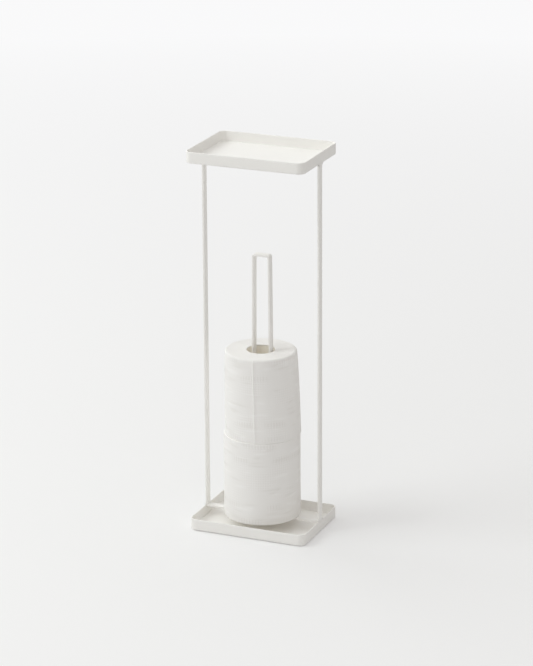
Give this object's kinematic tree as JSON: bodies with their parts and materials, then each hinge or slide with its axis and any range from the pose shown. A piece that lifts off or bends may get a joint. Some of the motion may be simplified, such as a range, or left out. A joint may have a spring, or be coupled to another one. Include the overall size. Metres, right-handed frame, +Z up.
{
  "type": "toilet paper stand",
  "caption": "Free-standing flat-bar stand with a shallow tray at the foot and another on top, and a tall loop that carries stacked toilet paper rolls between two posts.",
  "frame": {"origin": "on the floor, under the centre of the lower tray", "axes": "+Z up, +X along the trays' long side from post to post, +Y across them towards the back of the picture"},
  "size_m": [0.165, 0.12, 0.52],
  "materials": {
    "powder_coat": "warm white matt powder coat",
    "pad_rubber": "pale matt rubber",
    "tissue_paper": "soft embossed tissue",
    "core_card": "plain grey-brown card"
  },
  "bodies": {
    "stand": {"base_tray": "powder_coat", "top_tray": "powder_coat", "foot_pads": "pad_rubber", "cross_bar": "powder_coat", "left_post": "powder_coat", "right_post": "powder_coat", "post_welds": "powder_coat", "roll_loop": "powder_coat", "loop_welds": "powder_coat"},
    "lower_roll": {"lower_roll_paper": "tissue_paper", "lower_roll_core": "core_card"},
    "upper_roll": {"upper_roll_paper": "tissue_paper", "upper_roll_core": "core_card"}
  },
  "joints": [
    {"name": "lower_roll_turn", "type": "hinge", "parent": "stand", "child": "lower_roll", "pos_m": [-0.0012, 0, 0.0738], "axis": [0, 0, 1], "continuous": true},
    {"name": "upper_roll_lift", "type": "slide", "parent": "stand", "child": "upper_roll", "axis": [0, 0, 1], "range_m": [0, 0.25]}
  ]
}
